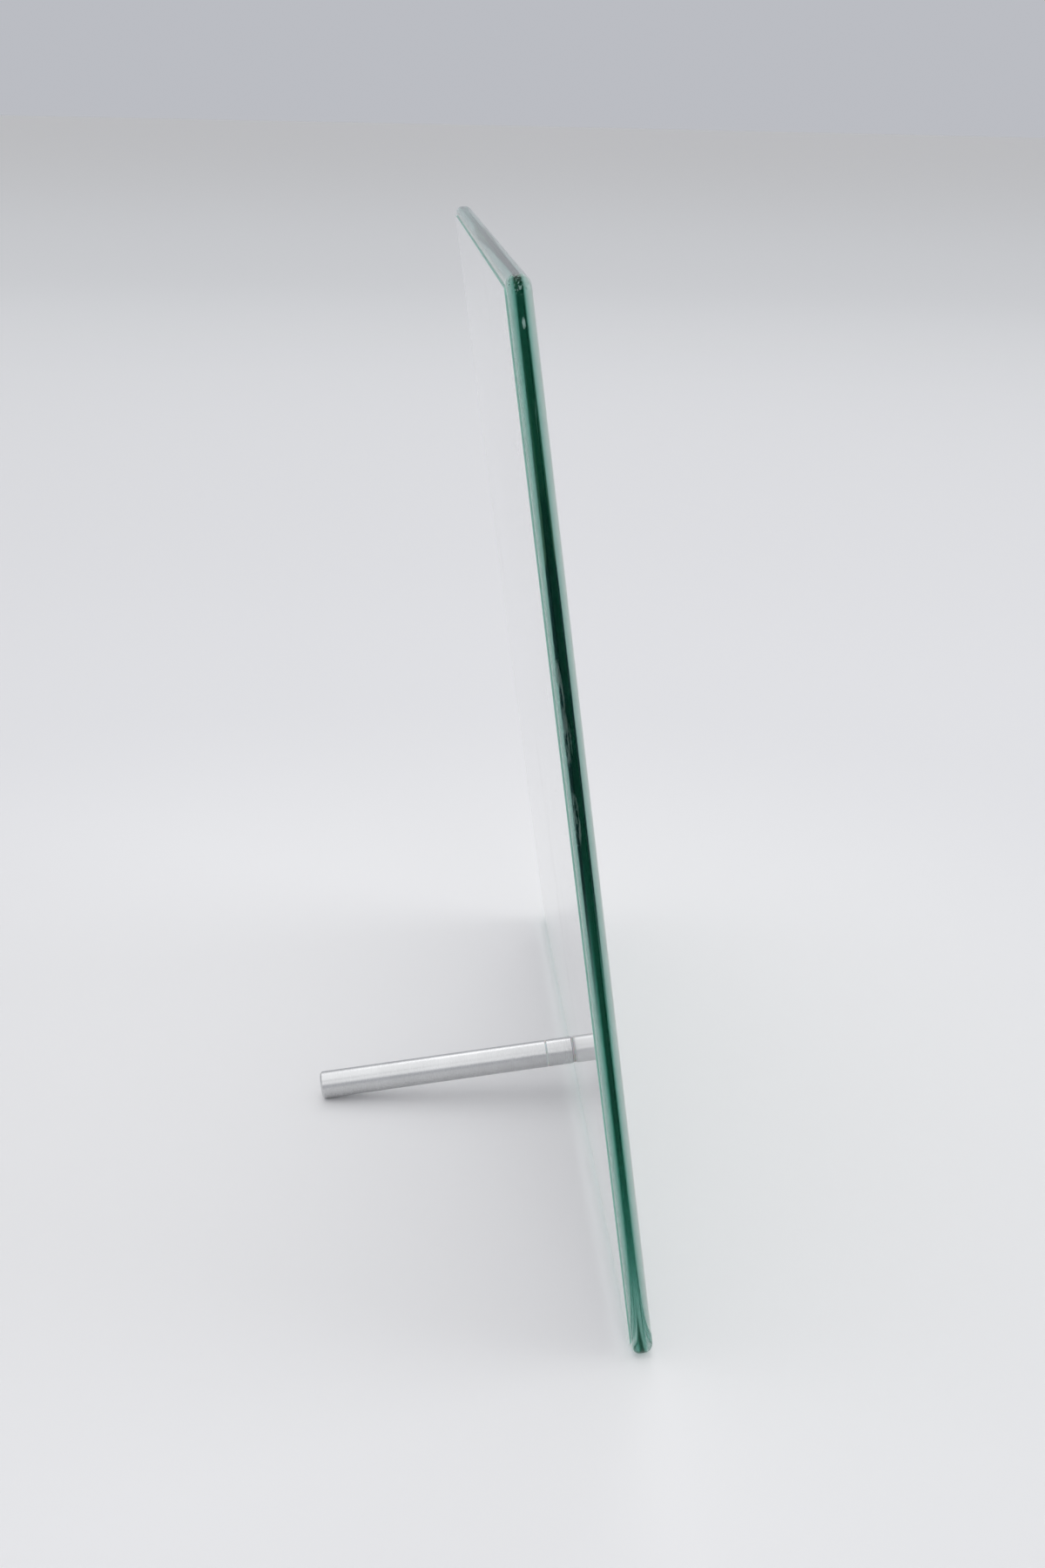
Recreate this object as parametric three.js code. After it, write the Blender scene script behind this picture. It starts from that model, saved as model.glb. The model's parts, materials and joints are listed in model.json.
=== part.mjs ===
// A frameless glass picture frame. One polished glass plate is bonded over its picture, and leans back on a
// single round rod that screws into a small boss glued to the back.
// Millimetres, +Z up. The picture faces -Y and the rod points to +Y.
import * as THREE from "three";

// Plate
const LEAN_DEG = 8; // how far the plate leans back from upright
const GLASS_WIDTH = 250;
const GLASS_HEIGHT = 250;
const GLASS_THICKNESS = 5;
const GLASS_EDGE_RADIUS = 2; // polished round along every edge, on both faces
const GLASS_CORNER_RADIUS = 3.5; // the four corners, seen from the front

// Picture and backing, bonded behind the glass
const GLUE_LINE = 0.2; // clear adhesive, left as a gap, between each bonded pair
const PICTURE_THICKNESS = 0.25;
const BACKING_THICKNESS = 0.35;
const BARE_MARGIN = 0.5; // flat glass left clear round the picture
const BACKING_OVERHANG = 0.25; // how far the backing reaches past the picture
const SHEET_CORNER_RADIUS = 1.5;

// Stand
const STAND_LENGTH = 75; // from the backing to the rod's far end
const ROD_RADIUS = 4;
const ROD_CHAMFER = 0.5;
const ADHESIVE_DISC_THICKNESS = 0.5;
const ADHESIVE_DISC_INSET = 0.3; // how far the disc stays inside the boss
const BOSS_LENGTH = 6;
const BOSS_CHAMFER = 0.3;
const WASHER_THICKNESS = 0.8;
const WASHER_INSET = 0.2; // how far the washer stays inside the rod

// Screw thread between boss and rod
const STUD_RADIUS = 2;
const STUD_CHAMFER = 0.4;
const STUD_IN_BOSS = 4.6;
const STUD_IN_ROD = 9;
const THREAD_CLEARANCE = 0.2; // round the stud, in every hole
const HOLE_END_CLEARANCE = 0.5; // beyond the stud's ends
const HOLE_CHAMFER = 0.4;
const SEAT_GAP = 0.2; // between the boss, the washer and the rod

// Smoothness
const ROUND_STEPS = 48;
const CORNER_STEPS = 8;
const EDGE_STEPS = 6;

const lean = THREE.MathUtils.degToRad(LEAN_DEG);

// Depths behind the glass, in the order the pieces are stacked
const pictureFront = GLUE_LINE;
const pictureBack = pictureFront + PICTURE_THICKNESS;
const backingFront = pictureBack + GLUE_LINE;
const backingBack = backingFront + BACKING_THICKNESS;
const discFront = backingBack + GLUE_LINE;
const discBack = discFront + ADHESIVE_DISC_THICKNESS;
const bossFront = discBack + GLUE_LINE;
const bossBack = bossFront + BOSS_LENGTH;
const washerFront = bossBack + SEAT_GAP;
const washerBack = washerFront + WASHER_THICKNESS;
const rodFront = washerBack + SEAT_GAP;
const rodBack = backingBack + STAND_LENGTH;
const studFront = bossBack - STUD_IN_BOSS;
const studBack = rodFront + STUD_IN_ROD;
const holeRadius = STUD_RADIUS + THREAD_CLEARANCE;

// The plate stands on the round of its lower back edge, a little inside the sharp corner, and the rod
// stands on the lower rim of its far end. Both have to be level, which sets the rod's height on the plate.
const roundedCornerRise = GLASS_EDGE_RADIUS * (Math.sin(lean) + Math.cos(lean) - 1);
const rimDepth = rodBack - ROD_CHAMFER;
const rimHeight = (rimDepth * Math.sin(lean) + roundedCornerRise) / Math.cos(lean);
const rodHeight = rimHeight + ROD_RADIUS;

const glassMaterial = new THREE.MeshStandardMaterial({
  color: 0x8fb8ab,
  roughness: 0.04,
  metalness: 0,
  transparent: true,
  opacity: 0.5,
});
const pictureMaterial = new THREE.MeshStandardMaterial({ color: 0xb9b2a6, roughness: 0.6, metalness: 0 });
const backingMaterial = new THREE.MeshStandardMaterial({ color: 0xe4e5e8, roughness: 0.2, metalness: 0 });
const adhesiveMaterial = new THREE.MeshStandardMaterial({ color: 0xd8dadb, roughness: 0.5, metalness: 0 });
const rodMaterial = new THREE.MeshStandardMaterial({ color: 0xc9cbcd, roughness: 0.35, metalness: 1 });
const steelMaterial = new THREE.MeshStandardMaterial({ color: 0xa9abad, roughness: 0.3, metalness: 1 });
const washerMaterial = new THREE.MeshStandardMaterial({ color: 0xe6e6e2, roughness: 0.5, metalness: 0 });

// A rectangle with rounded corners that stands on the line y = bottom.
function roundedRectangle(width, height, bottom, radius) {
  const right = width / 2;
  const left = -right;
  const top = bottom + height;
  const shape = new THREE.Shape();
  shape.moveTo(left + radius, bottom);
  shape.absarc(right - radius, bottom + radius, radius, -Math.PI / 2, 0);
  shape.absarc(right - radius, top - radius, radius, 0, Math.PI / 2);
  shape.absarc(left + radius, top - radius, radius, Math.PI / 2, Math.PI);
  shape.absarc(left + radius, bottom + radius, radius, Math.PI, Math.PI * 1.5);
  return shape;
}

// A flat sheet parallel to the glass. Its front face is at the given depth behind the glass.
function sheet(shape, thickness, frontDepth, edgeRadius = 0) {
  const geometry = new THREE.ExtrudeGeometry(shape, {
    depth: thickness - 2 * edgeRadius,
    curveSegments: CORNER_STEPS,
    bevelEnabled: edgeRadius > 0,
    bevelThickness: edgeRadius,
    bevelSize: edgeRadius,
    bevelOffset: -edgeRadius,
    bevelSegments: EDGE_STEPS,
  });
  geometry.translate(0, 0, edgeRadius - thickness - frontDepth);
  geometry.rotateX(Math.PI / 2);
  return geometry;
}

// A turned piece on the rod's axis, from a profile of [radius, depth behind the glass] points.
function turned(profile) {
  const points = profile.map(([radius, depth]) => new THREE.Vector2(radius, depth));
  return new THREE.LatheGeometry(points, ROUND_STEPS).translate(0, 0, rodHeight);
}

function glassPanel() {
  const outline = roundedRectangle(GLASS_WIDTH, GLASS_HEIGHT, 0, GLASS_CORNER_RADIUS);
  return sheet(outline, GLASS_THICKNESS, -GLASS_THICKNESS, GLASS_EDGE_RADIUS);
}

// The picture and the backing keep to the flat of the glass, inside its polished rounds.
function bondedSheet(margin, thickness, frontDepth) {
  const width = GLASS_WIDTH - 2 * margin;
  const height = GLASS_HEIGHT - 2 * margin;
  return sheet(roundedRectangle(width, height, margin, SHEET_CORNER_RADIUS), thickness, frontDepth);
}

function pictureSheet() {
  return bondedSheet(GLASS_EDGE_RADIUS + BARE_MARGIN, PICTURE_THICKNESS, pictureFront);
}

function backingFilm() {
  const margin = GLASS_EDGE_RADIUS + BARE_MARGIN - BACKING_OVERHANG;
  return bondedSheet(margin, BACKING_THICKNESS, backingFront);
}

function adhesiveDisc() {
  const radius = ROD_RADIUS - ADHESIVE_DISC_INSET;
  return turned([
    [0, discFront],
    [radius, discFront],
    [radius, discBack],
    [0, discBack],
  ]);
}

function threadedBoss() {
  const holeEnd = studFront - HOLE_END_CLEARANCE;
  return turned([
    [0, bossFront],
    [ROD_RADIUS - BOSS_CHAMFER, bossFront],
    [ROD_RADIUS, bossFront + BOSS_CHAMFER],
    [ROD_RADIUS, bossBack - BOSS_CHAMFER],
    [ROD_RADIUS - BOSS_CHAMFER, bossBack],
    [holeRadius + HOLE_CHAMFER, bossBack],
    [holeRadius, bossBack - HOLE_CHAMFER],
    [holeRadius, holeEnd],
    [0, holeEnd],
  ]);
}

function nylonWasher() {
  const outer = ROD_RADIUS - WASHER_INSET;
  return turned([
    [holeRadius, washerFront],
    [outer, washerFront],
    [outer, washerBack],
    [holeRadius, washerBack],
    [holeRadius, washerFront],
  ]);
}

function threadedStud() {
  return turned([
    [0, studFront],
    [STUD_RADIUS - STUD_CHAMFER, studFront],
    [STUD_RADIUS, studFront + STUD_CHAMFER],
    [STUD_RADIUS, studBack - STUD_CHAMFER],
    [STUD_RADIUS - STUD_CHAMFER, studBack],
    [0, studBack],
  ]);
}

function standRod() {
  const holeEnd = studBack + HOLE_END_CLEARANCE;
  return turned([
    [0, holeEnd],
    [holeRadius, holeEnd],
    [holeRadius, rodFront + HOLE_CHAMFER],
    [holeRadius + HOLE_CHAMFER, rodFront],
    [ROD_RADIUS - ROD_CHAMFER, rodFront],
    [ROD_RADIUS, rodFront + ROD_CHAMFER],
    [ROD_RADIUS, rodBack - ROD_CHAMFER],
    [ROD_RADIUS - ROD_CHAMFER, rodBack],
    [0, rodBack],
  ]);
}

function part(name, geometry, material) {
  const mesh = new THREE.Mesh(geometry, material);
  mesh.name = name;
  return mesh;
}

const plateAssembly = new THREE.Group();
plateAssembly.add(
  part("glass_panel", glassPanel(), glassMaterial),
  part("picture_sheet", pictureSheet(), pictureMaterial),
  part("backing_film", backingFilm(), backingMaterial),
  part("adhesive_disc", adhesiveDisc(), adhesiveMaterial),
  part("threaded_boss", threadedBoss(), rodMaterial),
);

const standAssembly = new THREE.Group();
standAssembly.add(
  part("nylon_washer", nylonWasher(), washerMaterial),
  part("threaded_stud", threadedStud(), steelMaterial),
  part("stand_rod", standRod(), rodMaterial),
);

const leaning = new THREE.Group();
leaning.rotation.x = -lean;
leaning.add(plateAssembly, standAssembly);

// The frame's origin is on the table, under the middle of the space that the leaning frame takes up.
const pictureFrame = new THREE.Group();
pictureFrame.add(leaning);
pictureFrame.updateMatrixWorld(true);
const extent = new THREE.Box3().setFromObject(pictureFrame, true);
leaning.position.set(0, -(extent.min.y + extent.max.y) / 2, -extent.min.z);

export default pictureFrame;
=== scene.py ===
"""Looks of a frameless glass picture frame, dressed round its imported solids.

A polished glass plate is bonded over its picture and leans back on one turned rod, which screws into a
small boss glued to the back. Every length is in metres. Plate axes are X across the plate, Y out of its
back and Z up the plate; rod axes have Z along the rod, from the back of the glass outwards.
"""

import json
import math

import bmesh
import bpy
from bpy.props import FloatProperty, FloatVectorProperty, IntProperty, PointerProperty
from mathutils import Matrix, Vector


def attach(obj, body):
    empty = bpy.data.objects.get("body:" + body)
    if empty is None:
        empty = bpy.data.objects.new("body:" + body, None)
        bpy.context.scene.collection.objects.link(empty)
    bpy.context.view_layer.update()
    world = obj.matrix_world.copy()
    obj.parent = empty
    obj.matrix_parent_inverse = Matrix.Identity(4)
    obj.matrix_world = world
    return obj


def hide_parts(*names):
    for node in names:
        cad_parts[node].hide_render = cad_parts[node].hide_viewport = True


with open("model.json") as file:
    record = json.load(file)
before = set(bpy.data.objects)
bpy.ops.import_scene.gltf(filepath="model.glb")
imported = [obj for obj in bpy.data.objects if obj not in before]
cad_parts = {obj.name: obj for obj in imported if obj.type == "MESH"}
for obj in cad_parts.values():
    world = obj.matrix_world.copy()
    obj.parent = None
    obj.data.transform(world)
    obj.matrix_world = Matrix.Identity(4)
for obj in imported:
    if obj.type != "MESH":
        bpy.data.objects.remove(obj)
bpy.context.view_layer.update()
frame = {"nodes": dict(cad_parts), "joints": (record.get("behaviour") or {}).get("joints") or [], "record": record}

bl_info = {
    "name": "Glass picture frame",
    "version": (1, 0, 0),
    "blender": (4, 5, 0),
    "location": "3D View > Sidebar > Picture frame",
    "description": "Models and finishes a frameless glass picture frame round its solids",
    "category": "Object",
}

MM = 0.001
FULL_TURN = 2 * math.pi
MERGE_DISTANCE = 1e-6

# The sheets behind the glass
BOND_DEPTH = 0.02 * MM  # how far the print reaches into the back of the glass
PRINT_DEPTH = 0.15 * MM
BONDED_GAP = 0.01 * MM
SHEET_CORNER = 1.5 * MM
PRINT_EDGE = 0.01 * MM
PRINT_CORNER_SEGMENTS = 8
PRINT_EDGE_SEGMENTS = 1
FILM_EDGE = 0.05 * MM
FILM_CORNER_SEGMENTS = 10
FILM_EDGE_SEGMENTS = 3

# The pieces between the plate and the rod
DISC_THICKNESS = 0.5 * MM
DISC_BULGE = 0.15 * MM  # how far the pressed disc swells past its solid
DISC_ROUND = 0.1 * MM
DISC_STEPS = 96
WASHER_THICKNESS = 0.4 * MM
WASHER_CLEARANCE = 0.2 * MM
BOSS_MOUTH = 0.5 * MM
ROD_BORE_CLEARANCE = 0.05 * MM
BORE_SPARE = 0.5 * MM  # how far each blind bore runs past the stud
SHARP_EDGE = math.radians(25)

# The thread. Its shares are of half a pitch, and the flat crest has the rest.
THREAD_ROWS = 12
THREAD_STEPS = 48
ROOT_SHARE = 0.25
FLANK_SHARE = 0.625

# Wear on the glass's left edge, measured from the middle of the plate. Each scuff has how far behind it
# lies, and its height.
CHIP_HEIGHT = 116.2 * MM
CHIP_RADII = (1.0 * MM, 0.38 * MM, 1.3 * MM)
SCUFFS = ((1.3 * MM, 43 * MM), (1.0 * MM, 32 * MM), (1.1 * MM, 14 * MM))
SCUFF_RADII = (1.6 * MM, 1.0 * MM, 8.0 * MM)
CORNER_RADII = (3.5 * MM, 3.0 * MM, 4.0 * MM)

# The picture, in shares of its half width and half height from its middle
SKY_BLEND = (0.45, 0.95)
SUN_ACROSS = 0.16
SUN_UP = 0.66
SUN_RIM = (0.085, 0.092)
SUN_GLOW_RIM = (0.1, 0.7)
SUN_GLOW = 0.45
HILLS = 5
FIRST_RIDGE = 0.47
RIDGE_STEP = 0.25
RIDGE_SOFTNESS = 0.006
FAR_RISE = 0.34
EXTRA_RISE = 0.12  # how much more the nearest ridge rises and falls
MIST_BELOW = 0.35
MIST_ABOVE = 0.1
MIST_SHARE = 0.6

# Finishes of the turned metal: rings of the lathe, per metre, and how strongly they show
ALUMINIUM_RINGS = 9000
ALUMINIUM_RELIEF = 0.5
THREAD_RINGS = 5000
THREAD_RELIEF = 0.3
THREAD_ROUGHNESS = 0.3
RELIEF_HEIGHT = 0.01 * MM

# The floor's tones, by the distance from the frame, and the backdrop's, by the height of the view
FLOOR_SIDES = 128
# Painted light: the floor is lighter close to the frame, against the frame's shade round its foot, and lighter
# again some metres off, against the lamps' fall-off
FLOOR_FALL = (0.0, 0.4)
FLOOR_RISE = (0.6, 2.4)
PAINTED_GLOW_CLOSENESS = (0.03, 0.30)  # 1 / distance: the floor's painted glow fades out between 3 and 33 metres away
BACKDROP_BLEND = (0.02, 0.7)

# Each lamp's place, its size and the setting that holds its power
LAMPS = {
    "overhead_lamp": ((0.15, -0.04, 1.40), (2.3, 2.3), "overhead_power"),
    "left_lamp": ((-1.50, 0.10, 1.30), (1.2, 1.2), "side_power"),
    "right_lamp": ((1.30, -0.05, 1.35), (1.0, 1.0), "side_power"),
    "front_lamp": ((-0.10, -1.75, 0.95), (1.6, 0.7), "front_power"),
    "back_lamp": ((0.10, 1.70, 0.95), (1.4, 1.0), "back_power"),
}
LAMP_TARGET = (0, 0, 0.1)
LIGHT_BOUNCES = 32

# The photograph's view, worked out from the plate's edges. The lens is in millimetres.
CAMERA_LENS = 41.66
CAMERA_PLACE = (-0.47656, 0.02103, 0.27725)
CAMERA_PITCH = math.radians(20.450)
CAMERA_YAW = math.radians(4.575)
CAMERA_ROLL = math.radians(1.242)
CAMERA_CLIP_START = 0.01
CAMERA_CLIP_END = 50


def joint(name):
    return next(j for j in frame["joints"] if j["name"] == name)


def ratio_of(follower):
    couplings = frame["record"]["behaviour"]["couplings"]
    return next(c["ratio"] for c in couplings if c["joint"] == follower)


# The plate's own axes, as they stand in the frame
ACROSS = Vector((1, 0, 0))
OUTWARDS = Vector(joint("rod_turn")["axis"]).normalized()
UPWARDS = ACROSS.cross(OUTWARDS)
TO_PLATE = Matrix((ACROSS, OUTWARDS, UPWARDS))
FROM_PLATE = TO_PLATE.transposed().to_4x4()
LEAN = math.atan2(-OUTWARDS.z, OUTWARDS.y)
THREAD_PITCH = FULL_TURN / ratio_of("rod_turn")


def plate_extent(node):
    """Lowest and highest corner of a solid, along the plate's own axes."""
    points = [TO_PLATE @ vertex.co for vertex in frame["nodes"][node].data.vertices]
    low = Vector([min(point[i] for point in points) for i in range(3)])
    high = Vector([max(point[i] for point in points) for i in range(3)])
    return low, high


GLASS_LOW, GLASS_HIGH = plate_extent("glass_panel")
GLASS_BACK = GLASS_HIGH.y
GLASS_MIDDLE = (GLASS_LOW + GLASS_HIGH) / 2
HALF_WIDTH = (GLASS_HIGH.x - GLASS_LOW.x) / 2
HALF_HEIGHT = (GLASS_HIGH.z - GLASS_LOW.z) / 2
ROD_HEIGHT = (TO_PLATE @ Vector(joint("rod_turn")["pos_m"])).z
ROD_START = Vector((0, GLASS_BACK, ROD_HEIGHT))
ROD_AXES = Matrix((ACROSS, -UPWARDS, OUTWARDS)).transposed().to_4x4()
FROM_ROD = Matrix.Translation(FROM_PLATE @ ROD_START) @ ROD_AXES


def depths(node):
    """How far behind the glass a solid starts and ends."""
    low, high = plate_extent(node)
    return low.y - GLASS_BACK, high.y - GLASS_BACK


def disc_faces(film_thickness):
    """Where the bonding disc starts and ends, behind the glass: right behind the film."""
    front = PRINT_DEPTH + film_thickness + 2 * BONDED_GAP
    return front, front + DISC_THICKNESS


def washer_faces():
    """Where the washer starts and ends, behind the glass: the middle of its solid, and pressed thin."""
    middle = sum(depths("nylon_washer")) / 2
    return middle - WASHER_THICKNESS / 2, middle + WASHER_THICKNESS / 2


def radius_of(node):
    low, high = plate_extent(node)
    return (high.x - low.x) / 2


def length(name, about, millimetres):
    return FloatProperty(
        name=name, description=about, default=millimetres * MM, subtype="DISTANCE", unit="LENGTH"
    )


def share(name, about, default):
    return FloatProperty(name=name, description=about, default=default, subtype="FACTOR", min=0, max=1)


def strength(name, about, default):
    return FloatProperty(name=name, description=about, default=default)


def power(name, about, watts):
    return FloatProperty(name=name, description=about, default=watts, unit="POWER")


def count(name, about, default):
    return IntProperty(name=name, description=about, default=default)


def colour(name, about, default):
    return FloatVectorProperty(
        name=name, description=about, default=default, subtype="COLOR", size=3, min=0, max=1
    )


class GlassSettings(bpy.types.PropertyGroup):
    front_radius: length("Front radius", "Polished round along the front edges", 2.3)
    back_radius: length("Back radius", "Polished round along the back edges", 1.8)
    corner_radius: length("Corner radius", "Round of the four corners, seen from the front", 3.5)
    edge_segments: count("Edge segments", "Facets across each polished round", 14)
    corner_segments: count("Corner segments", "Facets round each corner", 16)
    tint: colour("Tint", "Colour that light keeps on its way through the glass", (0.08, 0.59, 0.50))
    tint_density: strength("Tint density", "Absorption, per metre", 31.0)
    surface_tint: colour(
        "Surface tint", "Colour of what the surface reflects straight back", (0.06, 0.20, 0.16)
    )
    edge_roughness: share("Edge roughness", "Roughness of the polished edges", 0.15)
    streak_roughness: share("Streak roughness", "Roughness of the streaks along the edges", 0.5)
    ripple: length("Ripple", "Height of the ripples along the edges", 0.01)


class PictureSettings(bpy.types.PropertyGroup):
    side_margin: length("Side margin", "White margin left and right of the picture", 37.0)
    top_margin: length("Top margin", "White margin above the picture", 7.0)
    arch_height: length("Arch height", "From the start of the picture's arched top to its crown", 91.0)
    mist_height: length("Mist height", "Height on the sheet where the hills begin to fade into mist", 108.0)
    mist_depth: length("Mist depth", "How far below that the paper is white", 50.0)
    sky: colour("Sky", "Colour of the sky at the top of the picture", (0.07, 0.12, 0.17))
    haze: colour("Haze", "Colour of the haze behind the hills", (0.36, 0.29, 0.23))
    mist: colour("Mist", "Colour of the mist between the hills", (0.040, 0.060, 0.066))
    far_hill: colour("Far hill", "Colour of the farthest hill", (0.050, 0.076, 0.088))
    near_hill: colour("Near hill", "Colour of the nearest hill", (0.006, 0.011, 0.011))
    sun: colour("Sun", "Colour of the sun's disc", (0.90, 0.78, 0.58))
    grain: colour("Grain", "Colour of the paper's grain in the picture", (0.90, 0.88, 0.84))
    paper: colour("Paper", "Colour of the paper, warm against the glass's tint", (0.90, 0.79, 0.795))
    pale_paper: colour("Pale paper", "Colour of the paper's palest grain", (0.93, 0.82, 0.825))


class BackingSettings(bpy.types.PropertyGroup):
    cut_edge: colour("Cut edge", "Colour of the cut edges of the print and the film", (0.34, 0.60, 0.52))
    film: colour("Film", "Colour of the backing film", (0.84, 0.845, 0.86))
    film_thickness: length("Film thickness", "From the picture to the back of the film", 0.22)
    film_roughness: share("Film roughness", "Roughness of the glossy film", 0.08)
    bonding: colour("Bonding", "Colour of the bonding disc", (0.78, 0.79, 0.80))
    cloudy_bonding: colour("Cloudy bonding", "Colour of the disc's paler clouds", (0.84, 0.85, 0.86))


class StandSettings(bpy.types.PropertyGroup):
    metal: colour("Metal", "Colour of the turned aluminium", (0.64, 0.645, 0.65))
    metal_roughness: share("Metal roughness", "Roughness of the turned aluminium", 0.28)
    thread_metal: colour("Thread metal", "Colour of the zinc-plated stud", (0.62, 0.64, 0.66))
    nylon: colour("Nylon", "Colour of the washer", (0.74, 0.75, 0.76))
    cloudy_nylon: colour("Cloudy nylon", "Colour of the washer's paler clouds", (0.86, 0.86, 0.84))
    rod_chamfer: length("Rod chamfer", "Chamfer on the rod's free end", 0.5)
    joint_chamfer: length("Joint chamfer", "Chamfer where the rod, the washer and the boss meet", 0.04)
    edge_round: length("Edge round", "Fine round on each turned edge", 0.015)
    thread_depth: length("Thread depth", "From the crest to the root of the thread", 0.43)
    thread_clearance: length("Thread clearance", "Between the stud and the threaded hole", 0.12)
    steps: count("Steps", "Facets round the rod and the washer", 128)


class StageSettings(bpy.types.PropertyGroup):
    # Painted light: the floor's colours are lighter near the frame, against its shade, and far off, against the
    # lamps' fall-off
    floor: colour("Floor", "Colour of the floor round the frame", (0.92, 0.923, 0.94))
    far_floor: colour("Far floor", "Colour of the floor half a metre away", (0.785, 0.79, 0.82))
    last_floor: colour("Last floor", "Colour of the floor at the horizon", (0.96, 0.965, 0.99))
    # Painted glow: emission on the far floor that only the camera, glass and metal see, and that lights nothing
    painted_far_glow: colour("Far glow", "Added to the look of the floor some metres away", (0.062, 0.068, 0.076))
    floor_radius: length("Floor radius", "From the frame to the edge of the floor", 30000.0)
    ambient: strength("Ambient", "Strength of the light from all round", 0.64)
    horizon: colour("Horizon", "Colour of the backdrop near the floor", (0.495, 0.507, 0.545))
    zenith: colour("Zenith", "Colour of the backdrop overhead", (0.62, 0.625, 0.64))
    overhead_power: power("Overhead power", "Power of the overhead lamp", 8.5)
    side_power: power("Side power", "Power of each lamp at the sides", 2.4)
    front_power: power("Front power", "Power of the lamp before the picture", 7.0)
    back_power: power("Back power", "Power of the lamp behind the stand", 2.2)


# Helpers for modelling


def deselect_all():
    if bpy.context.object and bpy.context.object.mode == "EDIT":
        bpy.ops.object.mode_set(mode="OBJECT")
    bpy.ops.object.select_all(action="DESELECT")


def select_only(piece):
    deselect_all()
    piece.select_set(True)
    bpy.context.view_layer.objects.active = piece


def select_edges(piece, wanted):
    """Selects the edges of the piece in edit mode for which wanted(first, second) is true."""
    bpy.ops.mesh.select_mode(type="EDGE")
    bpy.ops.mesh.select_all(action="DESELECT")
    mesh = bmesh.from_edit_mesh(piece.data)
    for edge in mesh.edges:
        edge.select_set(wanted(*(vertex.co for vertex in edge.verts)))
    bmesh.update_edit_mesh(piece.data)


def apply_modifier(piece, kind, **values):
    select_only(piece)
    modifier = piece.modifiers.new(kind.lower(), kind)
    for name, value in values.items():
        setattr(modifier, name, value)
    bpy.ops.object.modifier_apply(modifier=modifier.name)


def keep_flats_flat(piece):
    """Smooth shading that leaves the large flat faces with their own normals."""
    select_only(piece)
    bpy.ops.object.shade_smooth()
    apply_modifier(piece, "WEIGHTED_NORMAL", mode="FACE_AREA", weight=100)


def rounded_block(name, low, high, corner_radius, corner_segments, front_radius, back_radius, edge_segments):
    """A flat block on the plate's axes, with round corners and finer rounds on its front and back edges."""
    deselect_all()
    bpy.ops.mesh.primitive_cube_add(size=1)
    piece = bpy.context.object
    piece.name = name
    piece.data.transform(Matrix.LocRotScale((low + high) / 2, None, high - low))
    select_only(piece)
    bpy.ops.object.mode_set(mode="EDIT")
    select_edges(piece, lambda a, b: abs(a.y - b.y) > MERGE_DISTANCE)
    bpy.ops.mesh.bevel(offset=corner_radius, segments=corner_segments, affect="EDGES")
    for face, radius in ((low.y, front_radius), (high.y, back_radius)):
        select_edges(piece, lambda a, b: max(abs(a.y - face), abs(b.y - face)) < MERGE_DISTANCE)
        bpy.ops.mesh.bevel(offset=radius, segments=edge_segments, affect="EDGES")
    bpy.ops.mesh.select_all(action="SELECT")
    bpy.ops.mesh.normals_make_consistent(inside=False)
    bpy.ops.object.mode_set(mode="OBJECT")
    keep_flats_flat(piece)
    piece.data.transform(FROM_PLATE)
    return piece


def turned(name, profile, steps):
    """A closed body turned about the rod's axis, from a profile of (radius, depth) points, in rod axes."""
    deselect_all()
    bpy.ops.mesh.primitive_plane_add(size=MM)
    piece = bpy.context.object
    piece.name = name
    bpy.ops.object.mode_set(mode="EDIT")
    bpy.ops.mesh.select_mode(type="VERT")
    bpy.ops.mesh.select_all(action="SELECT")
    bpy.ops.mesh.merge(type="CENTER")
    radius, depth = profile[0]
    bpy.ops.transform.translate(value=(radius, 0, depth))
    for next_radius, next_depth in profile[1:]:
        step = (next_radius - radius, 0, next_depth - depth)
        bpy.ops.mesh.extrude_region_move(TRANSFORM_OT_translate={"value": step})
        radius, depth = next_radius, next_depth
    bpy.ops.mesh.select_all(action="SELECT")
    bpy.ops.mesh.spin(steps=steps, angle=FULL_TURN, center=(0, 0, 0), axis=(0, 0, 1))
    bpy.ops.mesh.select_all(action="SELECT")
    bpy.ops.mesh.remove_doubles(threshold=MERGE_DISTANCE)
    bpy.ops.mesh.normals_make_consistent(inside=False)
    bpy.ops.object.mode_set(mode="OBJECT")
    return piece


def round_edges(piece, width):
    apply_modifier(
        piece, "BEVEL", width=width, segments=3, limit_method="ANGLE", angle_limit=SHARP_EDGE
    )


def finish_piece(piece, body, node, material):
    piece.data.materials.clear()
    piece.data.materials.append(material)
    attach(piece, body)
    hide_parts(node)


def finish_turned(piece, body, node, material):
    """Finishes a piece that was made in rod axes."""
    keep_flats_flat(piece)
    piece.data.transform(FROM_ROD)
    finish_piece(piece, body, node, material)


# Helpers for materials


def new_material(name):
    """A material with one Principled shader. Returns it, its tree and the shader."""
    material = bpy.data.materials.new(name)
    material.use_nodes = True
    tree = material.node_tree
    shader = next(node for node in tree.nodes if node.type == "BSDF_PRINCIPLED")
    return material, tree, shader


def feed(socket, value):
    """Sets the value of a node's socket, or links it where the value is another socket."""
    if isinstance(value, bpy.types.NodeSocket):
        socket.id_data.links.new(value, socket)
    elif socket.type == "RGBA":
        socket.default_value = (*value[:3], 1)
    else:
        socket.default_value = value


def set_inputs(node, **values):
    """Feeds a node's sockets, each named with underscores for its spaces."""
    for name, value in values.items():
        feed(node.inputs[name.replace("_", " ")], value)


def new_node(tree, kind, **inputs):
    """Adds a shader node and feeds its sockets."""
    node = tree.nodes.new("ShaderNode" + kind)
    set_inputs(node, **inputs)
    return node


def plain_maths(tree, operation, first, second=0.0):
    node = new_node(tree, "Math")
    node.operation = operation
    for socket, value in zip(node.inputs, (first, second)):
        feed(socket, value)
    return node.outputs[0]


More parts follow.
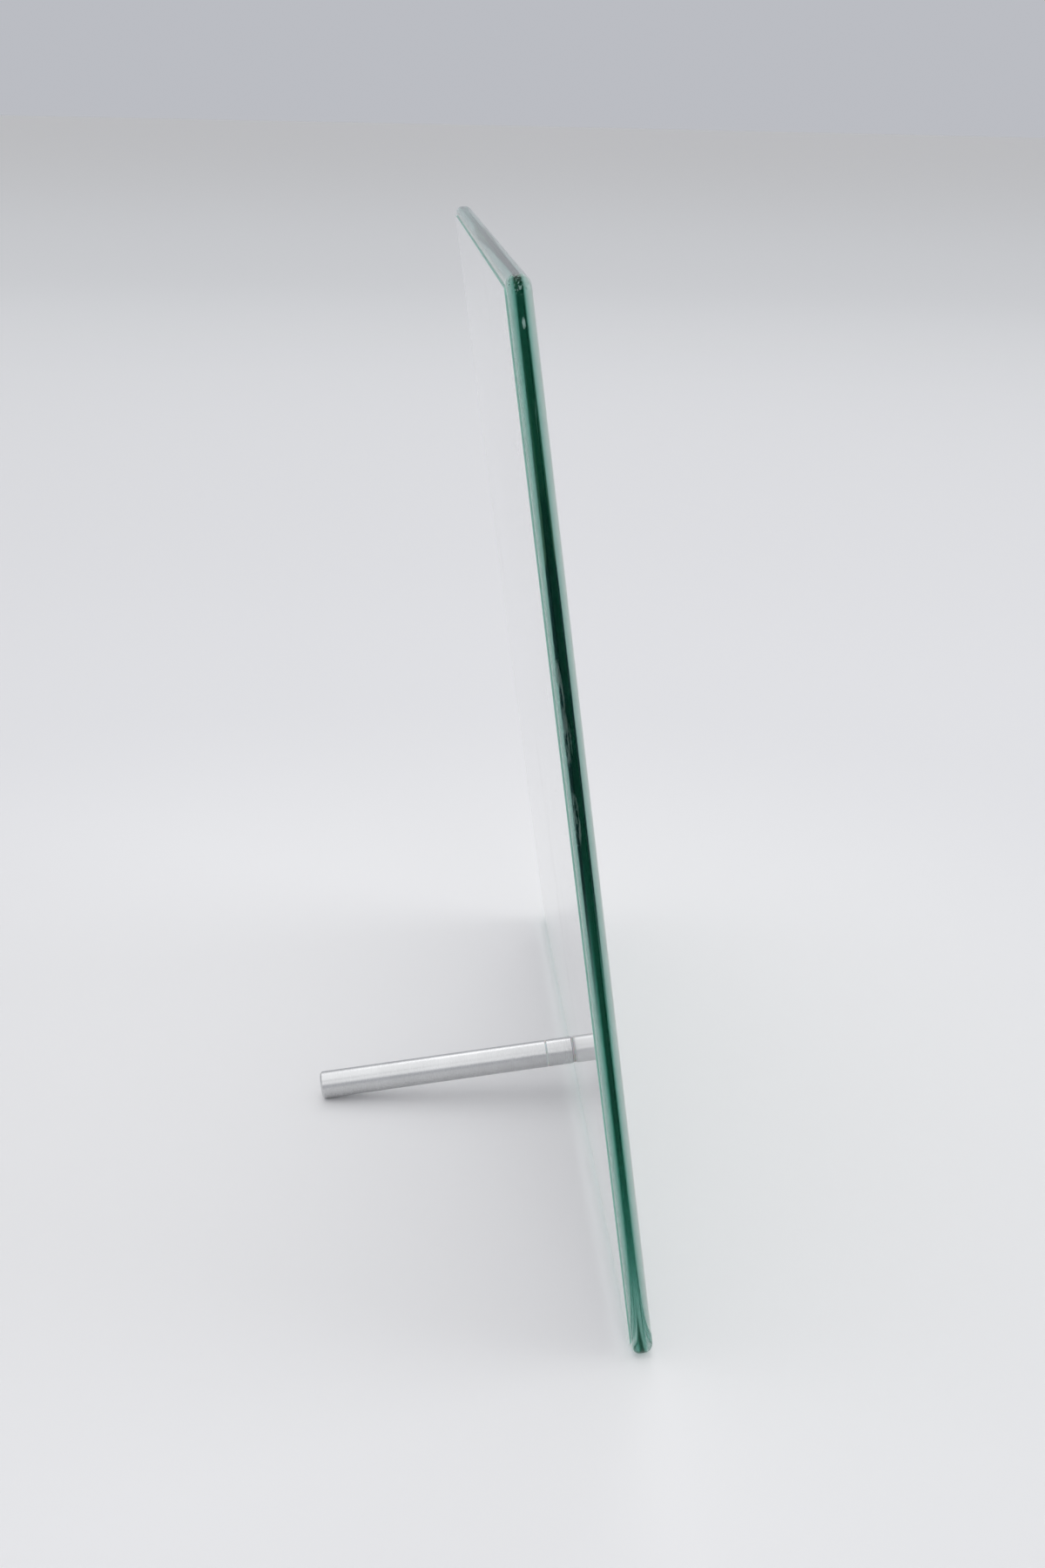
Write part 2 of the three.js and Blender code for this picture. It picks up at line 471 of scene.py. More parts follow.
def sum_of_squares(tree, first, second):
    squares = [plain_maths(tree, "MULTIPLY", value, value) for value in (first, second)]
    return plain_maths(tree, "ADD", *squares)


def diagonal(tree, first, second):
    """How long the diagonal is over two lengths at right angles."""
    return plain_maths(tree, "SQRT", sum_of_squares(tree, first, second))


def vector_length(tree, vector):
    node = new_node(tree, "VectorMath")
    node.operation = "LENGTH"
    feed(node.inputs[0], vector)
    return node.outputs["Value"]


def mix_colours(tree, factor, first, second):
    node = new_node(tree, "Mix")
    node.data_type = "RGBA"
    sockets = [s for s in node.inputs if s.enabled and s.type in ("VALUE", "RGBA")]
    for socket, value in zip(sockets, (factor, first, second)):
        feed(socket, value)
    return next(s for s in node.outputs if s.enabled)


def mix_shaders(tree, factor, first, second):
    node = new_node(tree, "MixShader")
    for socket, value in zip(node.inputs, (factor, first, second)):
        feed(socket, value)
    return node.outputs[0]


def mapped(tree, vector, **inputs):
    """A vector scaled, then turned and then moved, as the inputs say."""
    return new_node(tree, "Mapping", Vector=vector, **inputs).outputs["Vector"]


def plate_coordinates(tree):
    """Coordinates along the plate's axes, from the middle of the glass."""
    here = new_node(tree, "TexCoord").outputs["Object"]
    return mapped(tree, here, Rotation=(LEAN, 0, 0), Location=-GLASS_MIDDLE)


def rod_coordinates(tree):
    """Coordinates along the plate's axes, from the rod's own axis at the back of the glass."""
    here = new_node(tree, "TexCoord").outputs["Object"]
    return mapped(tree, here, Rotation=(LEAN, 0, 0), Location=-ROD_START)


def split(tree, vector):
    node = new_node(tree, "SeparateXYZ")
    feed(node.inputs[0], vector)
    return node.outputs


def noise(tree, vector, scale, detail=3.0, roughness=0.5):
    node = new_node(tree, "TexNoise", Vector=vector, Scale=scale, Detail=detail, Roughness=roughness)
    return node.outputs[0]


def remapped(tree, value, low, high, start=0.0, end=1.0):
    """The start up to the low value, the end from the high one on, and a smooth change between them."""
    node = new_node(tree, "MapRange")
    node.interpolation_type = "SMOOTHSTEP"
    set_inputs(node, Value=value, From_Min=low, From_Max=high, To_Min=start, To_Max=end)
    return node.outputs["Result"]


def bump(tree, shader, height, distance, strength=1.0):
    node = new_node(tree, "Bump", Height=height, Distance=distance, Strength=strength)
    set_inputs(shader, Normal=node.outputs["Normal"])


def new_group(name, inputs, outputs):
    """A node group with the named sockets. Returns its tree and its input and output nodes."""
    tree = bpy.data.node_groups.new(name, "ShaderNodeTree")
    for label, kind in inputs.items():
        tree.interface.new_socket(name=label, in_out="INPUT", socket_type=kind)
    for label, kind in outputs.items():
        tree.interface.new_socket(name=label, in_out="OUTPUT", socket_type=kind)
    return tree, tree.nodes.new("NodeGroupInput"), tree.nodes.new("NodeGroupOutput")


def use_group(tree, group, **values):
    """Places a group and feeds its sockets. Returns its outputs."""
    node = new_node(tree, "Group")
    node.node_tree = group
    set_inputs(node, **values)
    return node.outputs


def handling_marks_group():
    """A mask of faint smears and specks, for any smooth surface that is handled."""
    name = "Handling marks"
    if name in bpy.data.node_groups:
        return bpy.data.node_groups[name]
    inputs = {"Coordinates": "NodeSocketVector", "Amount": "NodeSocketFloat"}
    tree, source, result = new_group(name, inputs, {"Mask": "NodeSocketFloat"})
    vector = source.outputs["Coordinates"]
    smears = remapped(tree, noise(tree, vector, scale=18.0, detail=4.0, roughness=0.6), 0.52, 0.78)
    specks = remapped(tree, noise(tree, vector, scale=900.0, detail=1.0), 0.74, 0.80)
    both = plain_maths(tree, "MAXIMUM", smears, specks)
    set_inputs(result, Mask=plain_maths(tree, "MULTIPLY", both, source.outputs["Amount"]))
    return tree


def turning_marks_group():
    """Fine rings that a lathe leaves, and a slow change of tone. Coordinates have their Y along the axis."""
    name = "Turning marks"
    if name in bpy.data.node_groups:
        return bpy.data.node_groups[name]
    inputs = {"Coordinates": "NodeSocketVector", "Rings": "NodeSocketFloat"}
    outputs = {"Height": "NodeSocketFloat", "Tone": "NodeSocketFloat"}
    tree, source, result = new_group(name, inputs, outputs)
    vector = source.outputs["Coordinates"]
    x, y, z = split(tree, vector)
    along = plain_maths(tree, "ADD", y, diagonal(tree, x, z))
    ring = plain_maths(tree, "MULTIPLY", along, source.outputs["Rings"])
    place = new_node(tree, "CombineXYZ", X=ring).outputs[0]
    set_inputs(result, Height=noise(tree, place, scale=1.0, detail=4.0, roughness=0.7))
    set_inputs(result, Tone=noise(tree, vector, scale=160.0))
    return tree


def edge_polish_group():
    """Fine streaks that the polishing wheel leaves along the rounded edges of the glass.

    Coordinates run from the middle of the plate. The mask is 0 on the flat faces."""
    name = "Edge polish"
    if name in bpy.data.node_groups:
        return bpy.data.node_groups[name]
    inputs = {
        "Coordinates": "NodeSocketVector",
        "Half width": "NodeSocketFloat",
        "Half height": "NodeSocketFloat",
        "Edge": "NodeSocketFloat",
    }
    outputs = {"Mask": "NodeSocketFloat", "Streaks": "NodeSocketFloat", "Ripple": "NodeSocketFloat"}
    tree, source, result = new_group(name, inputs, outputs)
    vector, half_width, half_height, edge = [source.outputs[label] for label in inputs]
    x, _, z = split(tree, vector)
    from_side = plain_maths(tree, "SUBTRACT", half_width, plain_maths(tree, "ABSOLUTE", x))
    from_end = plain_maths(tree, "SUBTRACT", half_height, plain_maths(tree, "ABSOLUTE", z))
    mask = plain_maths(tree, "LESS_THAN", plain_maths(tree, "MINIMUM", from_side, from_end), edge)
    along_side = noise(tree, mapped(tree, vector, Scale=(900, 1400, 22)), scale=1.0)
    along_end = noise(tree, mapped(tree, vector, Scale=(22, 1400, 900)), scale=1.0)
    side_nearer = plain_maths(tree, "LESS_THAN", from_side, from_end)
    lines = mix_colours(tree, side_nearer, along_end, along_side)
    patches = remapped(tree, noise(tree, vector, scale=26.0, detail=2.0), 0.5, 0.66)
    streaks = plain_maths(tree, "MULTIPLY", remapped(tree, lines, 0.52, 0.7), patches)
    set_inputs(result, Mask=mask, Streaks=plain_maths(tree, "MULTIPLY", streaks, mask))
    set_inputs(result, Ripple=plain_maths(tree, "MULTIPLY", lines, mask))
    return tree


# Materials


def around(tree, vector, place, radii):
    """0 at a place on the glass, 1 at these radii from it along each axis."""
    location = [-middle / radius for middle, radius in zip(place, radii)]
    scale = [1 / radius for radius in radii]
    return vector_length(tree, mapped(tree, vector, Location=location, Scale=scale))


def chip_mask(tree, vector):
    """A tiny rough chip high on the left edge of the glass, 0 elsewhere."""
    reach = around(tree, vector, (-HALF_WIDTH, 0, CHIP_HEIGHT), CHIP_RADII)
    raggedness = plain_maths(tree, "MULTIPLY", noise(tree, vector, scale=5000.0), 1.6)
    return remapped(tree, plain_maths(tree, "ADD", reach, raggedness), 1.5, 1.7, 0.8, 0.0)


def scuff_mask(tree, vector):
    """Streaky scuffs along the back of the left edge, 0 elsewhere."""
    total = 0.0
    for behind, height in SCUFFS:
        reach = around(tree, vector, (-HALF_WIDTH, behind, height), SCUFF_RADII)
        total = plain_maths(tree, "MAXIMUM", remapped(tree, reach, 0.6, 1.0, 1.0, 0.0), total)
    lines = noise(tree, mapped(tree, vector, Scale=(2600, 2600, 160)), scale=1.0)
    return plain_maths(tree, "MULTIPLY", remapped(tree, lines, 0.42, 0.53, 0.0, 0.5), total)


def worn_corner_mask(tree, vector):
    """Small rough specks on the top left corner of the glass, 0 elsewhere."""
    reach = around(tree, vector, (-HALF_WIDTH, 0, HALF_HEIGHT), CORNER_RADII)
    grain = noise(tree, mapped(tree, vector, Scale=(3000, 3000, 1200)), scale=1.0, detail=2.0)
    specks = remapped(tree, grain, 0.54, 0.60, 0.0, 0.7)
    return plain_maths(tree, "MULTIPLY", specks, remapped(tree, reach, 0.8, 1.0, 1.0, 0.0))


def let_lamps_through(tree, shader, edges):
    """The shader with flat faces that are clear for shadow rays. Glass that bends light would otherwise
    cast the shadow of a solid thing."""
    shadow = new_node(tree, "LightPath").outputs["Is Shadow Ray"]
    faces = plain_maths(tree, "SUBTRACT", 1.0, edges)
    clear = new_node(tree, "BsdfTransparent").outputs["BSDF"]
    return mix_shaders(tree, plain_maths(tree, "MULTIPLY", shadow, faces), shader.outputs["BSDF"], clear)


def glass_material(settings):
    material, tree, shader = new_material("Polished float glass")
    vector = plate_coordinates(tree)
    polish = use_group(
        tree,
        edge_polish_group(),
        Coordinates=vector,
        Half_width=HALF_WIDTH,
        Half_height=HALF_HEIGHT,
        Edge=settings.back_radius,
    )
    streaks = plain_maths(tree, "MULTIPLY", polish["Streaks"], settings.streak_roughness)
    ground = plain_maths(tree, "MULTIPLY", polish["Mask"], settings.edge_roughness)
    rough = plain_maths(tree, "MAXIMUM", streaks, ground)
    for flaw in (chip_mask(tree, vector), scuff_mask(tree, vector), worn_corner_mask(tree, vector)):
        rough = plain_maths(tree, "MAXIMUM", rough, flaw)
    set_inputs(shader, Base_Color=(1, 1, 1), IOR=1.52, Transmission_Weight=1.0)
    set_inputs(shader, Specular_Tint=settings.surface_tint, Roughness=rough)
    bump(tree, shader, polish["Ripple"], settings.ripple)
    absorption = new_node(tree, "VolumeAbsorption", Color=settings.tint, Density=settings.tint_density)
    output = next(node for node in tree.nodes if node.type == "OUTPUT_MATERIAL")
    surface = let_lamps_through(tree, shader, polish["Mask"])
    set_inputs(output, Surface=surface, Volume=absorption.outputs["Volume"])
    return material


def depth_inside(tree, vector, node, corner):
    """How far inside a sheet's outline a place is, as far in as the radius of its corners."""
    low, high = plate_extent(node)
    x, _, z = split(tree, vector)
    beyond = []
    for place, half in ((x, (high.x - low.x) / 2), (z, (high.z - low.z) / 2)):
        over = plain_maths(tree, "SUBTRACT", plain_maths(tree, "ABSOLUTE", place), half - corner)
        beyond.append(plain_maths(tree, "MAXIMUM", over, 0.0))
    return plain_maths(tree, "SUBTRACT", corner, diagonal(tree, *beyond))


def cut_edge_mask(tree, vector, node, width):
    """1 on the cut edge of a sheet and within that width of it, and 0 inside."""
    return plain_maths(tree, "LESS_THAN", depth_inside(tree, vector, node, SHEET_CORNER), width)


def sky_colours(tree, settings, across, up):
    """Haze under a dark sky, with the sun and its glow."""
    sky = mix_colours(tree, remapped(tree, up, *SKY_BLEND), settings.haze, settings.sky)
    sun_across = plain_maths(tree, "SUBTRACT", across, SUN_ACROSS)
    sun_up = plain_maths(tree, "SUBTRACT", up, SUN_UP)
    from_sun = diagonal(tree, sun_across, sun_up)
    sky = mix_colours(tree, remapped(tree, from_sun, *SUN_GLOW_RIM, SUN_GLOW, 0.0), sky, settings.sun)
    return mix_colours(tree, remapped(tree, from_sun, *SUN_RIM, 1.0, 0.0), sky, settings.sun)


def hill_mask(tree, across, up, base, rise, frequency, seed):
    """1 below the ridge of one hill. Heights are shares of the picture's half height."""
    node = new_node(tree, "TexNoise", Scale=frequency, Detail=5.0, Roughness=0.42)
    node.noise_dimensions = "1D"
    set_inputs(node, W=plain_maths(tree, "ADD", across, seed))
    swing = plain_maths(tree, "MULTIPLY", plain_maths(tree, "SUBTRACT", node.outputs[0], 0.5), rise)
    over = plain_maths(tree, "SUBTRACT", plain_maths(tree, "ADD", swing, base), up)
    return remapped(tree, over, 0.0, RIDGE_SOFTNESS)


def add_hills(tree, settings, across, up, picture):
    """Lays the hills over the picture, each nearer one lower and darker, with mist at its foot."""
    for index in range(HILLS):
        nearness = index / (HILLS - 1)
        shade = Vector(settings.far_hill).lerp(Vector(settings.near_hill), nearness)
        base = FIRST_RIDGE - RIDGE_STEP * index
        mist = remapped(tree, up, base - MIST_BELOW, base + MIST_ABOVE, MIST_SHARE, 0.0)
        hill = mix_colours(tree, mist, shade, settings.mist)
        rise = FAR_RISE + EXTRA_RISE * nearness
        frequency, seed = 1.1 + 0.5 * index, 3.7 * index + 1.3
        mask = hill_mask(tree, across, up, base, rise, frequency, seed)
        picture = mix_colours(tree, mask, picture, hill)
    return picture


def paper_mask(tree, settings, x, z, half_width, half_height):
    """1 where the paper is white: round the arched picture and below its mist."""
    arch_start = half_height - settings.top_margin - settings.arch_height
    sideways = plain_maths(tree, "DIVIDE", x, half_width - settings.side_margin)
    above = plain_maths(tree, "DIVIDE", plain_maths(tree, "SUBTRACT", z, arch_start), settings.arch_height)
    above = plain_maths(tree, "MAXIMUM", above, 0.0)
    outside = plain_maths(tree, "GREATER_THAN", sum_of_squares(tree, sideways, above), 1.0)
    mist_top = settings.mist_height - half_height
    faded = remapped(tree, z, mist_top - settings.mist_depth, mist_top, 1.0, 0.0)
    return plain_maths(tree, "MAXIMUM", outside, faded)


def picture_material(settings, cut_edge):
    """A made-up print of hills in haze, in an arched field on white paper."""
    material, tree, shader = new_material("Printed picture")
    low, high = plate_extent("picture_sheet")
    half_width, half_height = (high.x - low.x) / 2, (high.z - low.z) / 2
    vector = plate_coordinates(tree)
    x, _, z = split(tree, vector)
    across = plain_maths(tree, "DIVIDE", x, half_width)
    up = plain_maths(tree, "DIVIDE", z, half_height)
    picture = add_hills(tree, settings, across, up, sky_colours(tree, settings, across, up))
    grain = noise(tree, vector, scale=2600.0, detail=2.0)
    picture = mix_colours(tree, remapped(tree, grain, 0.3, 0.7, 0.0, 0.01), picture, settings.grain)
    paper = mix_colours(tree, remapped(tree, grain, 0.3, 0.7), settings.paper, settings.pale_paper)
    margin = paper_mask(tree, settings, x, z, half_width, half_height)
    sheet = mix_colours(tree, margin, picture, paper)
    cut = cut_edge_mask(tree, vector, "picture_sheet", PRINT_EDGE)
    # Bonded to the glass without air, the print has no shine of its own
    set_inputs(shader, Roughness=0.55, Specular_IOR_Level=0.0)
    set_inputs(shader, Base_Color=mix_colours(tree, cut, sheet, cut_edge))
    return material


def film_material(settings):
    material, tree, shader = new_material("Glossy white film")
    vector = plate_coordinates(tree)
    marks = use_group(tree, handling_marks_group(), Coordinates=vector, Amount=0.02)
    roughness = plain_maths(tree, "ADD", marks["Mask"], settings.film_roughness)
    faded = tuple(0.92 * channel for channel in settings.film)
    tone = mix_colours(tree, remapped(tree, noise(tree, vector, scale=8.0), 0.3, 0.7), settings.film, faded)
    cut = cut_edge_mask(tree, vector, "backing_film", FILM_EDGE)
    set_inputs(shader, Base_Color=mix_colours(tree, cut, tone, settings.cut_edge))
    set_inputs(shader, Roughness=roughness, IOR=1.5)
    return material


def bonding_material(settings):
    material, tree, shader = new_material("Clear bonding disc")
    clouds = remapped(tree, noise(tree, rod_coordinates(tree), scale=1500.0), 0.35, 0.65)
    set_inputs(shader, Base_Color=mix_colours(tree, clouds, settings.bonding, settings.cloudy_bonding))
    set_inputs(shader, Roughness=0.35, Subsurface_Weight=0.4, Subsurface_Scale=0.5 * MM)
    return material


def metal_material(name, base, roughness, rings, relief):
    material, tree, shader = new_material(name)
    vector = rod_coordinates(tree)
    marks = use_group(tree, turning_marks_group(), Coordinates=vector, Rings=rings)
    handled = use_group(tree, handling_marks_group(), Coordinates=vector, Amount=0.03)
    darker = tuple(0.95 * channel for channel in base)
    tone = mix_colours(tree, remapped(tree, marks["Tone"], 0.3, 0.7), darker, base)
    turned_roughness = remapped(tree, marks["Height"], 0.3, 0.7, roughness - 0.04, roughness + 0.05)
    set_inputs(shader, Base_Color=tone, Metallic=1.0, IOR=1.5)
    set_inputs(shader, Roughness=plain_maths(tree, "ADD", turned_roughness, handled["Mask"]))
    bump(tree, shader, marks["Height"], RELIEF_HEIGHT, relief)
    return material


def nylon_material(settings):
    material, tree, shader = new_material("Natural nylon")
    vector = rod_coordinates(tree)
    clouds = remapped(tree, noise(tree, vector, scale=900.0), 0.3, 0.7)
    set_inputs(shader, Base_Color=mix_colours(tree, clouds, settings.nylon, settings.cloudy_nylon))
    set_inputs(shader, Roughness=0.42, Subsurface_Weight=0.5, Subsurface_Scale=0.6 * MM)
    bump(tree, shader, noise(tree, vector, scale=4000.0, detail=2.0), RELIEF_HEIGHT, 0.3)
    return material


def seen_directly(tree):
    """1 for what the camera sees, also by way of metal or glass, and 0 for the light that falls on things."""
    path = new_node(tree, "LightPath").outputs
    seen = plain_maths(tree, "MAXIMUM", path["Is Camera Ray"], path["Is Glossy Ray"])
    return plain_maths(tree, "MAXIMUM", seen, path["Is Transmission Ray"])


def floor_material(settings):
    """Pale, darkest half a metre away. Its colour is painted lighter close to the frame, against the frame's
    shade, and some metres away, against the lamps' fall-off. Some metres away it also has a faint painted glow,
    which lights nothing.
    """
    material, tree, shader = new_material("Pale satin tabletop")
    distance = vector_length(tree, new_node(tree, "TexCoord").outputs["Object"])
    # Painted light: lighter by the frame against its shade, darkest half a metre off, lighter again far off
    # against the lamps' fall-off
    rising = remapped(tree, distance, *FLOOR_RISE)
    tone = mix_colours(tree, remapped(tree, distance, *FLOOR_FALL), settings.floor, settings.far_floor)
    tone = mix_colours(tree, rising, tone, settings.last_floor)
    # Painted glow on the far floor, seen only by the camera, glass and metal
    short_of_horizon = remapped(tree, plain_maths(tree, "DIVIDE", 1.0, distance), *PAINTED_GLOW_CLOSENESS)
    glow = plain_maths(tree, "MULTIPLY", rising, short_of_horizon)
    glow = plain_maths(tree, "MULTIPLY", glow, seen_directly(tree))
    set_inputs(shader, Base_Color=tone, Roughness=0.5, IOR=1.2)
    set_inputs(shader, Emission_Color=settings.painted_far_glow, Emission_Strength=glow)
    return material


# The stage


class PICTUREFRAME_OT_stage(bpy.types.Operator):
    """Lay the pale floor and set the backdrop, the lamps and the camera"""

    bl_idname = "picture_frame.stage"
    bl_label = "Stage"

    def execute(self, context):
        settings = context.scene.picture_frame_stage
        add_floor(settings)
        set_world(context.scene, settings)
        add_lamps(context.scene, settings)
        add_camera(context.scene)
        set_light_paths(context.scene)
        context.scene.view_settings.view_transform = "Standard"
        return {"FINISHED"}


def add_floor(settings):
    deselect_all()
    bpy.ops.mesh.primitive_circle_add(vertices=FLOOR_SIDES, radius=settings.floor_radius, fill_type="NGON")
    floor = bpy.context.object
    floor.name = "tabletop"
    floor.data.materials.append(floor_material(settings))


def set_world(scene, settings):
    """Even light from all round. The camera, glass and metal see a backdrop that is darker near the floor."""
    world = bpy.data.worlds.new("Studio")
    world.use_nodes = True
    scene.world = world
    tree = world.node_tree
    tree.nodes.clear()
    light = new_node(tree, "Background", Strength=settings.ambient)
    height = split(tree, new_node(tree, "TexCoord").outputs["Generated"])[2]
    blend = remapped(tree, height, *BACKDROP_BLEND)
    backdrop = new_node(tree, "Background", Color=mix_colours(tree, blend, settings.horizon, settings.zenith))
    both = mix_shaders(tree, seen_directly(tree), light.outputs[0], backdrop.outputs[0])
    new_node(tree, "OutputWorld", Surface=both)


def add_lamps(scene, settings):
    """Most of the lamps stand in line with the plate, so that it casts little shadow to its sides."""
    for name, (location, size, power_setting) in LAMPS.items():
        lamp = bpy.data.lights.new(name, "AREA")
        lamp.shape = "ELLIPSE"
        lamp.size, lamp.size_y = size
        lamp.energy = getattr(settings, power_setting)
        carrier = bpy.data.objects.new(name, lamp)
        scene.collection.objects.link(carrier)
        carrier.location = location
        aim = Vector(LAMP_TARGET) - Vector(location)
        carrier.rotation_euler = aim.to_track_quat("-Z", "Y").to_euler()
        carrier.visible_camera = False


def add_camera(scene):
    """The photograph's view, nearly along the plate from its left side."""
    data = bpy.data.cameras.new("photo_view")
    data.lens = CAMERA_LENS
    data.clip_start = CAMERA_CLIP_START
    data.clip_end = CAMERA_CLIP_END
    camera = bpy.data.objects.new("photo_view", data)
    scene.collection.objects.link(camera)
    ahead = Vector((math.cos(CAMERA_YAW), -math.sin(CAMERA_YAW), 0)) * math.cos(CAMERA_PITCH)
    ahead.z = -math.sin(CAMERA_PITCH)
    right = Vector((-math.sin(CAMERA_YAW), -math.cos(CAMERA_YAW), 0))
    above = right.cross(ahead)
    turned_right = right * math.cos(CAMERA_ROLL) + above * math.sin(CAMERA_ROLL)
    turned_up = above * math.cos(CAMERA_ROLL) - right * math.sin(CAMERA_ROLL)
    turn = Matrix((turned_right, turned_up, -ahead)).transposed()
    camera.matrix_world = Matrix.Translation(CAMERA_PLACE) @ turn.to_4x4()
    scene.camera = camera


def set_light_paths(scene):
    """Light in the glass is reflected many times before it leaves."""
    scene.cycles.max_bounces = LIGHT_BOUNCES
    scene.cycles.glossy_bounces = LIGHT_BOUNCES
    scene.cycles.transmission_bounces = LIGHT_BOUNCES


# The plate and the sheets behind it


class PICTUREFRAME_OT_glass_plate(bpy.types.Operator):
    """Cut the glass plate, round its corners and polish its edges round"""

    bl_idname = "picture_frame.glass_plate"
    bl_label = "Glass plate"

    def execute(self, context):
        settings = context.scene.picture_frame_glass
        plate = rounded_block(
            "glass_plate",
            GLASS_LOW,
            GLASS_HIGH,
            settings.corner_radius,
            settings.corner_segments,
            settings.front_radius,
            settings.back_radius,
            settings.edge_segments,
        )
        finish_piece(plate, "plate", "glass_panel", glass_material(settings))
        return {"FINISHED"}


class PICTUREFRAME_OT_picture_print(bpy.types.Operator):
    """Print the picture and bond it to the back of the glass, without air between them"""

    bl_idname = "picture_frame.picture_print"
    bl_label = "Picture print"

    def execute(self, context):
        low, high = plate_extent("picture_sheet")
        low.y = GLASS_BACK - BOND_DEPTH
        high.y = GLASS_BACK + PRINT_DEPTH
        sheet = rounded_block(
            "picture_print",
            low,
            high,
            SHEET_CORNER,
            PRINT_CORNER_SEGMENTS,
            PRINT_EDGE,
            PRINT_EDGE,
            PRINT_EDGE_SEGMENTS,
        )
        cut_edge = context.scene.picture_frame_backing.cut_edge
        material = picture_material(context.scene.picture_frame_picture, cut_edge)
        finish_piece(sheet, "plate", "picture_sheet", material)
        return {"FINISHED"}


class PICTUREFRAME_OT_white_backing(bpy.types.Operator):
    """Lay the glossy white film over the back of the picture"""

    bl_idname = "picture_frame.white_backing"
    bl_label = "White backing"

    def execute(self, context):
        settings = context.scene.picture_frame_backing
        low, high = plate_extent("backing_film")
        low.y = GLASS_BACK + PRINT_DEPTH + BONDED_GAP
        high.y = low.y + settings.film_thickness
        film = rounded_block(
            "white_backing",
            low,
            high,
            SHEET_CORNER,
            FILM_CORNER_SEGMENTS,
            FILM_EDGE,
            FILM_EDGE,
            FILM_EDGE_SEGMENTS,
        )
        finish_piece(film, "plate", "backing_film", film_material(settings))
        return {"FINISHED"}


# The joint and the rod


class PICTUREFRAME_OT_bonding_disc(bpy.types.Operator):
    """Place the bonding disc between the film and the boss"""

    bl_idname = "picture_frame.bonding_disc"
    bl_label = "Bonding disc"

    def execute(self, context):
        settings = context.scene.picture_frame_backing
        front, back = disc_faces(settings.film_thickness)
        flat_radius = radius_of("adhesive_disc")
        disc = turned(
            "bonding_disc",
            [
                (0, front),
                (flat_radius, front),
                (flat_radius + DISC_BULGE, (front + back) / 2),
                (flat_radius, back),
                (0, back),
            ],
            DISC_STEPS,
        )
        round_edges(disc, DISC_ROUND)
        finish_turned(disc, "plate", "adhesive_disc", bonding_material(settings))
        return {"FINISHED"}


def thread_share(angle, depth):
    """0 at the root and 1 at the crest of a right-hand thread, at that place on it."""
    phase = (depth / THREAD_PITCH - angle / FULL_TURN) % 1
    from_root = abs(phase - 0.5) * 2
    return min(1, max(0, (from_root - ROOT_SHARE) / FLANK_SHARE))


def threaded_rows(start, end):
    """Depths of the rows of points along a threaded stretch."""
    rows = round((end - start) / THREAD_PITCH * THREAD_ROWS)
    return [start + (end - start) * row / rows for row in range(1, rows)]


def cut_thread(piece, radius, reach, start, end):
    """Cuts the thread's grooves into the wall at that radius. reach is how deep they go: outwards where it is
    below 0, as in a hole. The thread runs out over half a pitch at both ends."""
    runout = THREAD_PITCH / 2
    for vertex in piece.data.vertices:
        place = vertex.co
        if not start < place.z < end or abs(math.hypot(place.x, place.y) - radius) > MERGE_DISTANCE * 10:
            continue
        fade = min(1, (place.z - start) / runout, (end - place.z) / runout)
        angle = math.atan2(place.y, place.x)
        groove = (1 - thread_share(angle, place.z)) if reach > 0 else thread_share(angle, place.z)
        scale = (radius - reach * groove * fade) / radius
        place.x *= scale
        place.y *= scale


class PICTUREFRAME_OT_boss(bpy.types.Operator):
    """Turn the boss and tap the hole that the stud screws into"""

    bl_idname = "picture_frame.boss"
    bl_label = "Boss"

    def execute(self, context):
        settings = context.scene.picture_frame_stand
        film_thickness = context.scene.picture_frame_backing.film_thickness
        front, back = disc_faces(film_thickness)[1] + BONDED_GAP, washer_faces()[0] - BONDED_GAP
        outer, chamfer = radius_of("threaded_boss"), settings.joint_chamfer
        bore = radius_of("threaded_stud") - settings.thread_depth + settings.thread_clearance
        hole_end = depths("threaded_stud")[0] - BORE_SPARE
        thread_end = back - BOSS_MOUTH
        boss = turned(
            "glued_boss",
            [
                (0, front),
                (outer - chamfer, front),
                (outer, front + chamfer),
                (outer, back - chamfer),
                (outer - chamfer, back),
                (bore + BOSS_MOUTH, back),
                (bore, thread_end),
                *[(bore, depth) for depth in reversed(threaded_rows(hole_end, thread_end))],
                (bore, hole_end),
                (0, hole_end),
            ],
            THREAD_STEPS * 2,
        )
        cut_thread(boss, bore, -settings.thread_depth, hole_end, thread_end)
        round_edges(boss, settings.edge_round)
        roughness = settings.metal_roughness
        material = metal_material(
            "Turned aluminium boss", settings.metal, roughness, ALUMINIUM_RINGS, ALUMINIUM_RELIEF
        )
        finish_turned(boss, "plate", "threaded_boss", material)
        return {"FINISHED"}


class PICTUREFRAME_OT_washer(bpy.types.Operator):
    """Punch the thin nylon washer that the rod is tightened against"""

    bl_idname = "picture_frame.washer"
    bl_label = "Washer"

    def execute(self, context):
        settings = context.scene.picture_frame_stand
        front, back = washer_faces()
        outer = radius_of("stand_rod") - settings.joint_chamfer
        hole = radius_of("threaded_stud") + WASHER_CLEARANCE
        washer = turned(
            "nylon_ring",
            [(hole, front), (outer, front), (outer, back), (hole, back), (hole, front)],
            settings.steps,
        )
        round_edges(washer, settings.edge_round)
        finish_turned(washer, "washer", "nylon_washer", nylon_material(settings))
        return {"FINISHED"}


